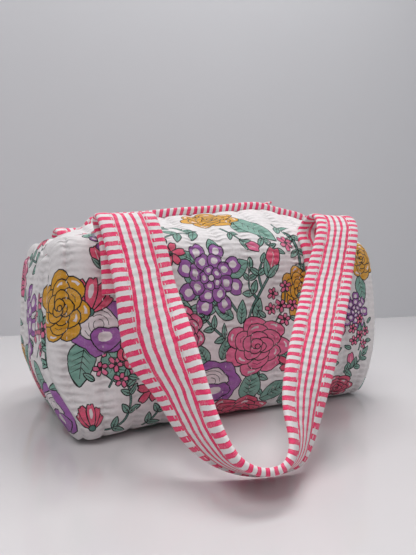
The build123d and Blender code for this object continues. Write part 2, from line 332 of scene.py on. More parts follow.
def leaf(x, y, turn, length, width, ink="teal", veins=3):
    body = [(0, 0), (-0.34, -0.16), (-0.5, -0.40), (-0.36, -0.72), (-0.1, -0.94), (0, -1.02),
            (0.1, -0.94), (0.36, -0.72), (0.5, -0.40), (0.34, -0.16)]
    shape = catmull(np.array(body) * (width, length), 2)
    out = inked(turned(shape, x, y, turn), ink)
    out += ribbon(turned([(0, 0), (0.02 * width, -0.45 * length), (0, -0.86 * length)], x, y, turn), 0.6, 0.3)
    for k in range(veins):
        low = 0.22 + 0.52 * k / max(veins, 1)
        for flip in (-1, 1):
            vein = [(0, -low * length), (flip * 0.32 * width, -(low + 0.15) * length)]
            out += ribbon(turned(vein, x, y, turn), printing["vein"], 0.16)
    return out


def petal(x, y, turn, length, width, ink, glow=True):
    body = [(0, 0), (-0.36, -0.3), (-0.5, -0.68), (-0.28, -0.96), (0.05, -0.93), (0.3, -1.0), (0.5, -0.66),
            (0.34, -0.3)]
    shape = catmull(np.array(body) * (width, length), 2)
    out = inked(turned(shape, x, y, turn), ink)
    if glow:
        patch = catmull(np.array([(-0.22, -0.45), (-0.24, -0.75), (0.1, -0.82), (0.2, -0.6), (0.02, -0.42)])
                        * (width, length), 2)
        out.append((turned(patch, x, y, turn), "pale"))
    return out


def blob(x, y, wide, tall, ink, lobes=0, wave=0.0, turn=0.0, count=16):
    angle = np.radians(np.arange(count) * 360 / count + turn)
    size = 1 + wave * np.cos(lobes * angle)
    return inked(np.c_[x + wide * size * np.cos(angle), y + tall * size * np.sin(angle)], ink)


def rose(x, y, wide, tall, ink, turn=0):
    out = []
    rings = ((7, 0.66, 0.37, 0), (6, 0.44, 0.34, 25), (5, 0.24, 0.27, 60), (3, 0.1, 0.17, 10))
    for count, reach, size, shift in rings:
        for k in range(count):
            a = math.radians(turn + shift + 360 * k / count)
            cx, cy = x + reach * wide * math.cos(a), y + reach * tall * math.sin(a)
            out += blob(cx, cy, size * wide, size * tall * 0.9, ink, 3, 0.06, turn + 40 * k, 14)
            if count > 5 and k % 2 == 0:
                mark = [(cx + 0.7 * size * wide * math.cos(a + d), cy + 0.62 * size * tall * math.sin(a + d))
                        for d in (-0.9, -0.4, 0.1)]
                out += ribbon(mark, 0.7, 1.7, "pale")
            elif count == 6:
                mark = [(cx + 0.55 * size * wide * math.cos(a + d), cy + 0.5 * size * tall * math.sin(a + d))
                        for d in (-0.8, 0, 0.8)]
                out += ribbon(mark, 0.4, 0.4)
    return out + blob(x, y, 0.07 * wide, 0.07 * tall, ink, count=8)


def clusterBloom(x, y, size, ink, turn=0):
    out = []
    for count, reach, length in ((8, 0.44, 0.56), (8, 0.2, 0.46), (5, 0.04, 0.28)):
        for k in range(count):
            a = turn + 360 * k / count + 23 * count
            px = x + reach * size * math.sin(math.radians(a))
            py = y - reach * size * math.cos(math.radians(a))
            out += petal(px, py, a, length * size, (0.44 if count == 8 else 0.3) * size, ink)
    return out + blob(x, y, 0.08 * size, 0.08 * size, "pale", count=8)


def openRose(x, y, wide, tall, ink):
    out = blob(x, y, wide, tall, ink, 7, 0.08, 12, 28)
    out += blob(x - 0.1 * wide, y - 0.1 * tall, 0.66 * wide, 0.6 * tall, "pale", 5, 0.07, 40, 20)
    for k, size in enumerate((0.52, 0.36, 0.2)):
        for low, high in ((20, 160), (200, 330)):
            arc = [(x + (size * math.cos(a) - 0.1) * wide, y + (size * math.sin(a) - 0.1) * tall)
                   for a in np.radians(np.linspace(low + 35 * k, high + 35 * k, 7))]
            out += ribbon(arc, 0.45, 0.35)
    out += petal(x + 0.1 * wide, y + 0.9 * tall, 6, 0.9 * tall, 1.1 * wide, ink)
    return out


def star(x, y, size, ink="coral", petals=6, turn=0):
    out = []
    for k in range(petals):
        out += petal(x, y, turn + 360 * k / petals, size * (1 if k % 2 else 0.82), size * 0.44, ink, glow=False)
    return out + blob(x, y, 0.13 * size, 0.13 * size, "line", count=6)


def bud(x, y, turn, length, ink="coral"):
    out = petal(x, y, turn, length, length * 0.46, ink, glow=False)
    out += ribbon(turned([(0, -0.2 * length), (0.03 * length, -0.8 * length)], x, y, turn), 0.6, 0.4, "pale")
    out += leaf(x, y, turn - 26, length * 0.55, length * 0.2, veins=0)
    return out + leaf(x, y, turn + 26, length * 0.55, length * 0.2, veins=0)


def branch(points, leafLength, pairs, tip=True, width=1.2):
    path = catmull(points, 8, closed=False)
    out = stem(points, width)
    for k in range(pairs):
        i = int((k + 0.6) / (pairs + 0.2) * (len(path) - 1))
        way = path[min(i + 1, len(path) - 1)] - path[max(i - 1, 0)]
        heading = math.degrees(math.atan2(way[0], -way[1]))
        size = leafLength * (1 - 0.35 * k / max(pairs, 1))
        for flip in (-1, 1):
            out += leaf(*path[i], heading + flip * 52, size * (1 if flip > 0 else 0.86), size * 0.42, veins=1)
    if tip:
        way = path[-1] - path[-3]
        out += leaf(*path[-1], math.degrees(math.atan2(way[0], -way[1])), leafLength * 0.9, leafLength * 0.4, veins=1)
    return out


def spray(x, y, turn, size, ink="coral"):
    out = stem(turned([(0, 0), (size * 0.1, -size * 0.5), (0, -size)], x, y, turn), 0.5)
    heads = ((0.0, -1.0), (-0.3, -0.72), (0.32, -0.6), (-0.24, -0.34), (0.22, -0.2), (0.02, -0.5))
    for k, (sx, sy) in enumerate(heads):
        cx, cy = turned([(sx * size, sy * size)], x, y, turn)[0]
        out += star(cx, cy, size * 0.17, ink, 5, 20 * k)
    for sx, sy, a in ((0.4, -0.86, 60), (0.36, -0.3, 95), (-0.34, -0.1, -70)):
        cx, cy = turned([(sx * size, sy * size)], x, y, turn)[0]
        out += leaf(cx, cy, turn + a, size * 0.24, size * 0.1, veins=0)
    return out


def flame(x, y, turn, size, ink="coral"):
    out = []
    for a, length in ((-48, 0.8), (48, 0.8), (-24, 0.95), (24, 0.95), (0, 1.0)):
        out += petal(x, y, turn + a, size * length, size * 0.34, ink, glow=a == 0)
    return out + blob(x, y, size * 0.14, size * 0.12, "deepTeal", count=8)


def wallPrint():
    shapes = []
    # stems and twigs
    shapes += stem([(-17, 88), (-10, 97), (-2, 108)]) + stem([(0, 108), (8, 92), (17, 78)])
    shapes += branch([(-28, 40), (-44, 45), (-60, 52)], 13, 3) + branch([(-66, 34), (-56, 30), (-44, 31)], 9, 2)
    shapes += branch([(39, 28), (45, 44), (46, 62), (45, 74)], 11, 4, tip=False)
    shapes += branch([(-9, 36), (-5, 44), (0, 50)], 7, 1, tip=False)
    shapes += branch([(17, 46), (20, 54), (27, 58)], 8, 2) + branch([(8, 92), (3, 84), (4, 72)], 9, 2)
    shapes += branch([(12, 86), (10, 76), (13, 68)], 8, 1) + branch([(-16, 118), (-26, 110), (-33, 102)], 9, 3)
    shapes += branch([(-12, 98), (-24, 95), (-34, 96)], 10, 1)
    shapes += branch([(9, 140), (11, 150), (9, 160)], 9, 2, tip=False)
    shapes += branch([(-96, 168), (-84, 162), (-80, 150), (-82, 138)], 9, 3, tip=False)
    shapes += branch([(-70, 170), (-63, 164), (-58, 154)], 9, 2) + branch([(-92, 74), (-84, 66), (-74, 62)], 10, 3)
    shapes += branch([(-56, 84), (-52, 92), (-42, 90)], 11, 2) + branch([(-84, 96), (-80, 108), (-82, 118)], 14, 2)
    shapes += branch([(72, 36), (62, 44), (58, 56)], 11, 3) + branch([(86, 150), (96, 146), (104, 138)], 9, 3)
    shapes += branch([(60, 150), (70, 142), (74, 130)], 10, 3) + branch([(-52, 128), (-50, 140), (-42, 150)], 10, 3)
    shapes += branch([(98, 44), (90, 52), (86, 64)], 9, 3) + branch([(30, 168), (40, 164), (48, 156)], 10, 3)
    # large leaves
    shapes += leaf(2, 38, 62, 24, 17) + leaf(10, 20, 148, 36, 21, veins=4) + leaf(-21, 62, -8, 12, 9)
    shapes += leaf(-34, 70, -62, 17, 9) + leaf(-14, 76, 62, 19, 12) + leaf(-11, 104, -62, 16, 8)
    shapes += leaf(-5, 108, 8, 15, 7) + leaf(7, 106, 12, 14, 6) + leaf(24, 128, 118, 20, 14)
    shapes += leaf(3, 162, 4, 23, 17, veins=4) + leaf(14, 162, 66, 26, 13, veins=4)
    shapes += leaf(-30, 132, -30, 14, 8) + leaf(-20, 130, 20, 14, 8) + leaf(-12, 134, 62, 13, 8)
    shapes += leaf(-36, 160, 176, 22, 14) + leaf(44, 104, 176, 20, 11) + leaf(50, 76, 30, 14, 10)
    shapes += leaf(-106, 112, 190, 26, 15, veins=4) + leaf(-94, 118, 152, 24, 15) + leaf(-110, 96, 160, 16, 10)
    shapes += leaf(100, 78, 168, 20, 12) + leaf(104, 112, -150, 17, 9) + leaf(70, 78, 20, 18, 10)
    shapes += leaf(-72, 176, 96, 25, 8, veins=4) + leaf(-66, 184, 84, 26, 8, veins=4) + leaf(-44, 72, 150, 15, 8)
    shapes += leaf(84, 100, -120, 16, 9) + leaf(-84, 38, 140, 20, 12) + leaf(-104, 50, 60, 18, 11)
    # flowers
    shapes += rose(-8, 17, 22, 15, "mustard", 20) + bud(0, 51, 118, 15, "pink")
    shapes += clusterBloom(-26, 78, 24, "purple", 14) + bud(17, 78, 22, 23, "coral")
    shapes += rose(42, 89, 15, 19, "mustard", 60) + spray(22, 110, 18, 27, "pink")
    shapes += rose(8, 124, 25, 20, "pink", 5) + openRose(-25, 146, 19, 15, "purple")
    shapes += rose(-3, 172, 25, 14, "coral", 33) + rose(-27, 178, 9, 6, "mustard")
    shapes += rose(-46, 112, 13, 17, "pink", 70)
    shapes += star(-53, 63, 9.5, turn=20) + star(-67, 144, 10, turn=40) + bud(-82, 140, 24, 19, "pink")
    shapes += spray(-93, 140, 14, 28, "pink") + openRose(-97, 105, 16, 16, "purple") + flame(-104, 96, 8, 19)
    shapes += rose(-120, 93, 16, 21, "mustard", 10) + flame(-108, 163, 4, 15) + bud(-96, 72, -20, 13)
    shapes += rose(107, 64, 15, 17, "mustard", 30) + clusterBloom(94, 104, 14, "purple")
    shapes += spray(98, 134, 0, 24, "pink")
    shapes += bud(93, 148, -14, 13, "pink") + rose(82, 164, 17, 12, "coral", 50) + rose(66, 112, 19, 16, "pink", 80)
    shapes += clusterBloom(-88, 52, 13, "purple", 40) + star(72, 92, 9) + openRose(66, 62, 15, 13, "purple")
    shapes += star(-62, 96, 8) + rose(52, 136, 13, 12, "coral") + star(34, 138, 9) + star(38, 52, 7, "pink")
    shapes += rose(-76, 120, 12, 11, "coral", 15) + star(86, 30, 8) + rose(-72, 20, 13, 9, "pink") + star(-98, 30, 8)
    # under the base
    for u, v, turn in ((-84, 204, 60), (-20, 200, 110), (36, 206, 70), (88, 200, 100)):
        shapes += branch(turned([(0, 12), (3, 0), (0, -14)], u, v, turn), 12, 4)
    shapes += rose(-54, 202, 18, 14, "pink", 20) + clusterBloom(10, 206, 17, "purple")
    shapes += rose(64, 204, 18, 14, "mustard")
    shapes += openRose(-104, 210, 13, 12, "purple") + star(-34, 218, 9) + star(40, 188, 8) + flame(104, 216, 20, 16)
    return shapes


def endPrint():
    shapes = branch([(64, 30), (52, 16), (50, 0)], 13, 3) + branch([(20, -52), (6, -44), (-10, -46)], 12, 3)
    shapes += branch([(-60, -10), (-48, 0), (-46, 16)], 12, 3) + branch([(30, 54), (14, 50), (0, 56)], 12, 3)
    shapes += branch([(-34, 52), (-44, 42), (-58, 40)], 11, 3) + leaf(44, -2, -20, 22, 14) + leaf(60, 12, 150, 24, 14)
    shapes += leaf(-12, 14, -140, 26, 15) + leaf(24, 18, 130, 24, 14) + leaf(-20, -18, -60, 22, 13)
    shapes += leaf(52, -48, 30, 20, 12)
    shapes += rose(64, -24, 17, 21, "mustard", 20) + spray(34, 14, 10, 34, "pink") + clusterBloom(4, -4, 25, "purple")
    shapes += rose(-38, -34, 20, 16, "pink", 30) + rose(2, 34, 20, 15, "coral", 60)
    shapes += openRose(44, 42, 16, 14, "purple")
    shapes += rose(-50, 28, 15, 14, "mustard", 5) + flame(30, -46, 12, 20) + star(-8, -62, 9) + star(-30, 58, 9)
    shapes += bud(-60, -28, -30, 16, "pink") + star(24, 66, 8, "pink") + star(66, 2, 9, "coral")
    return shapes


def within(points, polygon):
    x, y = points[:, 0][:, None], points[:, 1][:, None]
    ax, ay = polygon[:, 0], polygon[:, 1]
    bx, by = np.roll(ax, -1), np.roll(ay, -1)
    crossing = (ay > y) != (by > y)
    rise = np.where(by == ay, 1e-9, by - ay)
    return (np.sum(crossing & (x < (bx - ax) * (y - ay) / rise + ax), axis=1) % 2).astype(bool)


def triangulate(points, loops):
    edges = []
    for start, count in loops:
        edges += [(start + k, start + (k + 1) % count) for k in range(count)]
    found = geometry.delaunay_2d_cdt([Vector(p) for p in points], edges, [], 0, 1e-5, True)
    return np.array([v[:] for v in found[0]]), np.array(found[2]), found[3]


def borderLoop(triangles):
    after = {}
    for tri in triangles:
        for k in range(3):
            after[(tri[k], tri[(k + 1) % 3])] = True
    onward = {a: b for a, b in after if (b, a) not in after}
    start = next(iter(onward))
    loop = [start]
    while onward[loop[-1]] != start:
        loop.append(onward[loop[-1]])
    return loop


# a quilted panel: printed face with its shapes cut into the mesh, plain inner face and a rim
def quiltedPanel(name, place, innerPlace, border, grid, shapes):
    points, loops = [tuple(p) for p in border], [(0, len(border))]
    low, high = border.min(axis=0), border.max(axis=0)
    used = []
    for shape, ink in shapes:
        if (shape.max(axis=0) < low).any() or (shape.min(axis=0) > high).any():
            continue
        loops.append((len(points), len(shape)))
        points += [tuple(p) for p in shape]
        used.append((shape, ink))
    points += [tuple(p) for p in grid]
    flat, triangles, _ = triangulate(points, loops)
    middles = flat[triangles].mean(axis=1)
    keep = within(middles, border)
    triangles, middles = triangles[keep], middles[keep]
    tint = np.tile(linear("ground"), (len(triangles), 1))
    for shape, ink in used:
        a, b = shape.min(axis=0), shape.max(axis=0)
        near = np.flatnonzero((middles >= a).all(axis=1) & (middles <= b).all(axis=1))
        if len(near):
            tint[near[within(middles[near], shape)]] = linear(ink)
    rim = borderLoop(triangles)
    coarse = grid[::5]
    innerFlat, innerTriangles, origins = triangulate([tuple(p) for p in flat[rim]] + [tuple(p) for p in coarse],
                                                     [(0, len(rim))])
    innerMiddles = innerFlat[innerTriangles].mean(axis=1)
    innerTriangles = innerTriangles[within(innerMiddles, border)]
    innerOf = {source: k for k, sources in enumerate(origins) for source in sources}
    base = len(flat)
    faces = [tuple(t[::-1]) for t in triangles] + [tuple(t + base) for t in innerTriangles]
    for k in range(len(rim)):
        n = (k + 1) % len(rim)
        faces.append((rim[k], rim[n], innerOf[n] + base, innerOf[k] + base))
    vertices = np.vstack([place(*flat.T), innerPlace(*innerFlat.T)])
    normals = np.vstack([outward(place, *flat.T, 0.5), -outward(innerPlace, *innerFlat.T)])
    panel = meshObject(name, vertices, faces, np.vstack([flat, innerFlat]))
    ground = np.tile(linear("ground"), (len(faces) - len(triangles), 1))
    sizes = [len(f) for f in faces]
    paint = panel.data.color_attributes.new(name="ink", type="FLOAT_COLOR", domain="CORNER")
    paint.data.foreach_set("color", np.repeat(np.vstack([tint, ground]), sizes, axis=0).astype(np.float32).ravel())
    panel.data.normals_split_custom_set_from_vertices(normals.tolist())
    return panel


def meshObject(name, vertices, faces, cloth=None, cornerCloth=None):
    mesh = bpy.data.meshes.new(name)
    mesh.from_pydata((np.asarray(vertices) * mm).tolist(), [], faces)
    mesh.shade_smooth()
    if cloth is not None or cornerCloth is not None:
        layer = mesh.uv_layers.new(name="cloth")
        corners = np.zeros(len(mesh.loops), int)
        mesh.loops.foreach_get("vertex_index", corners)
        values = cornerCloth if cornerCloth is not None else np.asarray(cloth)[corners]
        layer.data.foreach_set("uv", (values * mm).astype(np.float32).ravel())
    thing = bpy.data.objects.new(name, mesh)
    bpy.context.scene.collection.objects.link(thing)
    return thing


def faceOutward(thing):
    work = bmesh.new()
    work.from_mesh(thing.data)
    bmesh.ops.recalc_face_normals(work, faces=work.faces)
    work.to_mesh(thing.data)
    work.free()
    return thing


# a strip drawn along a path: rings of one profile, with the cloth's length and width kept as its map
def strip(name, centres, wide, face, profile, across=None, lengthFirst=False, slant=0.0, closed=False):
    profile = np.asarray(profile, float)
    count, ring = len(centres), len(profile)
    vertices = centres[:, None] + wide[:, None] * profile[None, :, :1] + face[:, None] * profile[None, :, 1:]
    vertices = vertices.reshape(-1, 3)
    across = profile[:, 0] if across is None else np.asarray(across, float)
    along = chordKnots(centres)
    if closed:
        along = np.r_[along, along[-1] + np.linalg.norm(centres[0] - centres[-1])]
    faces, cloth = [], []

    def corner(i, j):
        return (along[i] + slant * across[j], across[j]) if lengthFirst else (across[j], along[i])

    for i in range(count if closed else count - 1):
        for j in range(ring):
            n, m = (i + 1) % count, (j + 1) % ring
            faces.append((i * ring + j, i * ring + m, n * ring + m, n * ring + j))
            cloth += [corner(i, j), corner(i, m), corner(i + 1, m), corner(i + 1, j)]
    if not closed:
        for i in (0, count - 1):
            faces.append(tuple(i * ring + j for j in range(ring)))
            cloth += [corner(i, j) for j in range(ring)]
    thing = meshObject(name, vertices, faces, cornerCloth=np.array(cloth))
    return faceOutward(thing)


# running stitches: spindles of thread laid along lines
def stitches(name, runs, long=2.4, gap=2.0, thick=0.34, sink=0.12):
    square = np.array([(math.cos(a), math.sin(a)) for a in (0.785, 2.356, 3.927, 5.498)])
    faces = [(0, 1 + (k + 1) % 4, 1 + k) for k in range(4)]
    for low in (1, 5):
        faces += [(low + k, low + (k + 1) % 4, low + 4 + (k + 1) % 4, low + 4 + k) for k in range(4)]
    faces += [(9 + k, 9 + (k + 1) % 4, 13) for k in range(4)]
    threads = []
    for points, normals in runs:
        knots = chordKnots(points)
        starts = np.arange(0.8, knots[-1] - long, long + gap)
        first, last, up = [np.stack([np.interp(starts + s, knots, rows[:, k]) for k in range(3)], axis=1)
                           for s, rows in ((0, points), (long, points), (long / 2, normals))]
        way = (last - first) / np.linalg.norm(last - first, axis=1)[:, None]
        up = up / np.linalg.norm(up, axis=1)[:, None]
        side = np.cross(way, up)
        rings = [(first - up * sink * 2)[:, None]]
        for share, size, drop in ((0.12, 0.8, sink), (0.5, 1.0, 0), (0.88, 0.8, sink)):
            middle = first + (last - first) * share + up * (thick * 0.3 - drop)
            rings.append(middle[:, None] + side[:, None] * square[None, :, :1] * thick * size
                         + up[:, None] * square[None, :, 1:] * thick * size * 0.7)
        rings.append((last - up * sink * 2)[:, None])
        threads.append(np.concatenate(rings, axis=1))
    threads = np.concatenate(threads)
    joined = [tuple(k + 14 * n for k in face) for n in range(len(threads)) for face in faces]
    return faceOutward(meshObject(name, threads.reshape(-1, 3), joined))


# shader groups: each puts out only a mask, a shade or a height that changes over the cloth
def nodeGroup(name, inputs, outputs):
    tree = bpy.data.node_groups.new(name, "ShaderNodeTree")
    for label, kind, value in inputs:
        socket = tree.interface.new_socket(label, in_out="INPUT", socket_type=kind)
        if value is not None:
            socket.default_value = value
    for label in outputs:
        tree.interface.new_socket(label, in_out="OUTPUT", socket_type="NodeSocketFloat")
    return tree, tree.nodes.new("NodeGroupInput").outputs, tree.nodes.new("NodeGroupOutput").inputs


def plug(tree, value, socket):
    if hasattr(value, "links"):
        tree.links.new(value, socket)
    else:
        socket.default_value = value


def calc(tree, operation, *values):
    node = tree.nodes.new("ShaderNodeMath")
    node.operation = operation
    for k, value in enumerate(values):
        plug(tree, value, node.inputs[k])
    return node.outputs[0]


def noise(tree, vector, scale, detail=2.0, rough=0.5):
    node = tree.nodes.new("ShaderNodeTexNoise")
    plug(tree, vector, node.inputs["Vector"])
    plug(tree, scale, node.inputs["Scale"])
    node.inputs["Detail"].default_value = detail
    node.inputs["Roughness"].default_value = rough
    return node.outputs["Fac"]


def ranged(tree, value, low, high, toLow=0.0, toHigh=1.0, soft=True):
    node = tree.nodes.new("ShaderNodeMapRange")
    node.interpolation_type = "SMOOTHSTEP" if soft else "LINEAR"
    for k, item in enumerate((value, low, high, toLow, toHigh)):
        plug(tree, item, node.inputs[k])
    return node.outputs[0]


def split(tree, vector):
    node = tree.nodes.new("ShaderNodeSeparateXYZ")
    tree.links.new(vector, node.inputs[0])
    return node.outputs


vectorInput = ("Vector", "NodeSocketVector", None)


def weaveNodes():
    tree, given, result = nodeGroup("clothWeave", [vectorInput, ("Pitch", "NodeSocketFloat", 0.0007)],
                                          ["Height", "Shade"])
    x, y, _ = split(tree, given["Vector"])
    wave = [calc(tree, "SINE", calc(tree, "MULTIPLY", calc(tree, "DIVIDE", part, given["Pitch"]), math.pi))
            for part in (x, y)]
    threads = calc(tree, "MULTIPLY_ADD", calc(tree, "MULTIPLY", *wave), 0.5, 0.5)
    slub = noise(tree, given["Vector"], 900.0, 3.0, 0.6)
    plug(tree, calc(tree, "MULTIPLY_ADD", slub, 0.8, threads), result["Height"])
    plug(tree, ranged(tree, slub, 0.25, 0.75, 0.93, 1.0, soft=False), result["Shade"])
    return tree


def mottleNodes():
    tree, given, result = nodeGroup("printMottle", [vectorInput, ("Amount", "NodeSocketFloat", 0.3)], ["Fade"])
    broad = noise(tree, given["Vector"], 180.0, 3.0)
    specks = noise(tree, given["Vector"], 1300.0, 2.0)
    patchy = calc(tree, "MULTIPLY", ranged(tree, broad, 0.35, 0.75), ranged(tree, specks, 0.35, 0.7))
    plug(tree, calc(tree, "MULTIPLY", patchy, given["Amount"]), result["Fade"])
    return tree


def stripeNodes():
    tree, given, result = nodeGroup("printedStripes", [
        vectorInput, ("Pitch", "NodeSocketFloat", 0.0055), ("Share", "NodeSocketFloat", 0.4),
        ("Wobble", "NodeSocketFloat", 0.0007)], ["Mask", "Rim"])
    x = split(tree, given["Vector"])[0]
    drift = calc(tree, "SUBTRACT", noise(tree, given["Vector"], 95.0, 2.0), 0.5)
    moved = calc(tree, "MULTIPLY_ADD", drift, calc(tree, "MULTIPLY", given["Wobble"], 3.0), x)
    fray = calc(tree, "SUBTRACT", noise(tree, given["Vector"], 1100.0, 2.0), 0.5)
    moved = calc(tree, "MULTIPLY_ADD", fray, given["Wobble"], moved)
    phase = calc(tree, "FRACT", calc(tree, "DIVIDE", moved, given["Pitch"]))
    away = calc(tree, "ABSOLUTE", calc(tree, "SUBTRACT", phase, 0.5))
    half = calc(tree, "MULTIPLY", given["Share"], 0.5)
    plug(tree, ranged(tree, away, calc(tree, "ADD", half, 0.02), calc(tree, "SUBTRACT", half, 0.02)),
         result["Mask"])
    plug(tree, ranged(tree, away, calc(tree, "MULTIPLY", half, 0.45), half, 0.0, 1.0), result["Rim"])
    return tree


def puckerNodes():
    tree, given, result = nodeGroup("quiltPuckers", [
        vectorInput, ("Row pitch", "NodeSocketFloat", 0.02), ("Row start", "NodeSocketFloat", 0.004),
        ("Ripple", "NodeSocketFloat", 0.0046)], ["Height"])
    x, y, _ = split(tree, given["Vector"])
    phase = calc(tree, "FRACT", calc(tree, "DIVIDE", calc(tree, "SUBTRACT", x, given["Row start"]),
                                            given["Row pitch"]))
    away = calc(tree, "SUBTRACT", 0.5, calc(tree, "ABSOLUTE", calc(tree, "SUBTRACT", phase, 0.5)))
    near = ranged(tree, away, 0.02, 0.4, 1.0, 0.18)
    bent = calc(tree, "MULTIPLY_ADD", noise(tree, given["Vector"], 110.0, 3.0), 0.006, y)
    ripple = calc(tree, "SINE", calc(tree, "MULTIPLY", calc(tree, "DIVIDE", bent, given["Ripple"]),
                                            2 * math.pi))
    lumps = noise(tree, given["Vector"], 230.0, 3.0, 0.6)
    plug(tree, calc(tree, "MULTIPLY_ADD", calc(tree, "MULTIPLY", ripple, near), 0.5, lumps),
         result["Height"])
    return tree


def wearNodes():
    tree, given, result = nodeGroup("metalWear", [vectorInput], ["Tarnish", "Rough"])
    patches = noise(tree, given["Vector"], 420.0, 4.0, 0.6)
    plug(tree, ranged(tree, patches, 0.45, 0.72), result["Tarnish"])
    plug(tree, ranged(tree, noise(tree, given["Vector"], 1500.0, 3.0), 0.3, 0.7, 0.24, 0.42), result["Rough"])
    return tree


weaveGroup, mottleGroup, stripeGroup, puckerGroup, wearGroup = (
    weaveNodes(), mottleNodes(), stripeNodes(), puckerNodes(), wearNodes())


def newMaterial(name, rough, sheen=0.0):
    material = bpy.data.materials.new(name)
    material.use_nodes = True
    tree = material.node_tree
    shader = tree.nodes["Principled BSDF"]
    shader.inputs["Roughness"].default_value = rough
    if sheen:
        shader.inputs["Sheen Weight"].default_value = sheen
        shader.inputs["Sheen Roughness"].default_value = 0.5
    return material, tree, shader.inputs


def place(tree, group, vector, **values):
    node = tree.nodes.new("ShaderNodeGroup")
    node.node_tree = group
    tree.links.new(vector, node.inputs["Vector"])
    for label, value in values.items():
        plug(tree, value, node.inputs[label.replace("_", " ")])
    return node.outputs


def clothMap(tree):
    node = tree.nodes.new("ShaderNodeUVMap")
    node.uv_map = "cloth"
    return node.outputs[0]


def mixed(tree, share, a, b, blend="MIX"):
    node = tree.nodes.new("ShaderNodeMix")
    node.data_type, node.blend_type = "RGBA", blend
    for socket, value in ((node.inputs[0], share), (node.inputs[6], a), (node.inputs[7], b)):
        plug(tree, value, socket)
    return node.outputs[2]


def bump(tree, height, depth, strength=1.0, under=None):
    node = tree.nodes.new("ShaderNodeBump")
    node.inputs["Strength"].default_value = strength
    node.inputs["Distance"].default_value = depth
    tree.links.new(height, node.inputs["Height"])
    if under is not None:
        tree.links.new(under, node.inputs["Normal"])
    return node.outputs[0]


def grey(tree, value):
    node = tree.nodes.new("ShaderNodeCombineColor")
    for k in range(3):
        tree.links.new(value, node.inputs[k])
    return node.outputs[0]


def printedQuilt():
    material, tree, shader = newMaterial("quiltedPrint", 0.86, 0.15)
    cloth = clothMap(tree)
    ink = tree.nodes.new("ShaderNodeAttribute")
    ink.attribute_name = "ink"
    weave = place(tree, weaveGroup, cloth)
    fade = place(tree, mottleGroup, cloth, Amount=0.22)["Fade"]
    puckers = place(tree, puckerGroup, cloth)["Height"]
    colour = mixed(tree, fade, ink.outputs["Color"], linear("ground"))
    colour = mixed(tree, 1.0, colour, grey(tree, weave["Shade"]), "MULTIPLY")
    # painted shade: the print's colour is darkened down to 0.86 in the pucker hollows, where the pucker height is low
    hollow = ranged(tree, puckers, 0.1, 0.8, 0.86, 1.0)
    tree.links.new(mixed(tree, 1.0, colour, grey(tree, hollow), "MULTIPLY"), shader["Base Color"])
    normal = bump(tree, puckers, 0.0009, 0.9)
    tree.links.new(bump(tree, weave["Height"], 0.00012, 0.6, normal), shader["Normal"])
    return material


def stripedCotton(name, pitch, share, ripple):
    material, tree, shader = newMaterial(name, 0.84, 0.15)
    cloth = clothMap(tree)
    stripes = place(tree, stripeGroup, cloth, Pitch=pitch, Share=share)
    weave = place(tree, weaveGroup, cloth)
    fade = place(tree, mottleGroup, cloth, Amount=0.3)["Fade"]
    pink = mixed(tree, stripes["Rim"], linear("stripe"), linear("stripeEdge"))
    pink = mixed(tree, fade, pink, linear("ground"))
    colour = mixed(tree, stripes["Mask"], linear("ground"), pink)
    tree.links.new(mixed(tree, 1.0, colour, grey(tree, weave["Shade"]), "MULTIPLY"), shader["Base Color"])
    folds = noise(tree, cloth, 260.0, 3.0, 0.6)
    moved = calc(tree, "MULTIPLY_ADD", folds, 0.004, split(tree, cloth)[1])
    wave = calc(tree, "SINE", calc(tree, "MULTIPLY", moved, 2 * math.pi / 0.0052))
    height = calc(tree, "MULTIPLY_ADD", wave, ripple, folds)
    normal = bump(tree, height, 0.0006, 0.8)
    tree.links.new(bump(tree, weave["Height"], 0.00012, 0.6, normal), shader["Normal"])
    return material


def plainCloth(name, ink, pitch=0.0008, mapped=True):
    material, tree, shader = newMaterial(name, 0.88, 0.1)
    if mapped:
        cloth = clothMap(tree)
    else:
        cloth = tree.nodes.new("ShaderNodeTexCoord").outputs["Object"]
    weave = place(tree, weaveGroup, cloth, Pitch=pitch)
    fade = place(tree, mottleGroup, cloth, Amount=0.25)["Fade"]
    colour = mixed(tree, fade, linear(ink), linear("ground"))
    tree.links.new(mixed(tree, 1.0, colour, grey(tree, weave["Shade"]), "MULTIPLY"), shader["Base Color"])
    tree.links.new(bump(tree, weave["Height"], 0.00015, 0.7), shader["Normal"])
    return material


def wornMetal():
    material, tree, shader = newMaterial("zipMetal", 0.3)
    shader["Metallic"].default_value = 1.0
    spot = tree.nodes.new("ShaderNodeTexCoord").outputs["Object"]
    wear = place(tree, wearGroup, spot)
    tree.links.new(mixed(tree, wear["Tarnish"], linear("metal"), linear("tarnish")), shader["Base Color"])
    tree.links.new(wear["Rough"], shader["Roughness"])
    tree.links.new(bump(tree, noise(tree, spot, 2200.0, 2.0), 0.00003, 0.5), shader["Normal"])
    return material


def smoothNylon():
    material, tree, shader = newMaterial("coilNylon", 0.4)
    spot = tree.nodes.new("ShaderNodeTexCoord").outputs["Object"]
    fade = place(tree, mottleGroup, spot, Amount=0.3)["Fade"]
    tree.links.new(mixed(tree, fade, linear("coil"), linear("ground")), shader["Base Color"])
    tree.links.new(bump(tree, noise(tree, spot, 3000.0, 2.0), 0.00003, 0.4), shader["Normal"])
    return material


looks = {
    "print": printedQuilt(), "core": stripedCotton("strapLines", 0.0053, 0.42, 0.35),
    "bars": stripedCotton("bindingBars", 0.0055, 0.5, 0.0), "lining": plainCloth("liningCotton", "lining"),
    "seam": plainCloth("seamCotton", "seam"), "tape": plainCloth("zipTapeWeave", "tape", 0.0006),
    "thread": plainCloth("sewingThread", "thread", 0.0003, mapped=False), "coil": smoothNylon(), "metal": wornMetal(),
}


def finished(thing, look, body, slotName, *nodes):
    thing.data.materials.append(looks[look])
    if body:
        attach(thing, body)
    if nodes:
        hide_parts(*nodes)
    return thing


def cutSheet(border):
    tuple(np.ptp(border, axis=0) * mm)


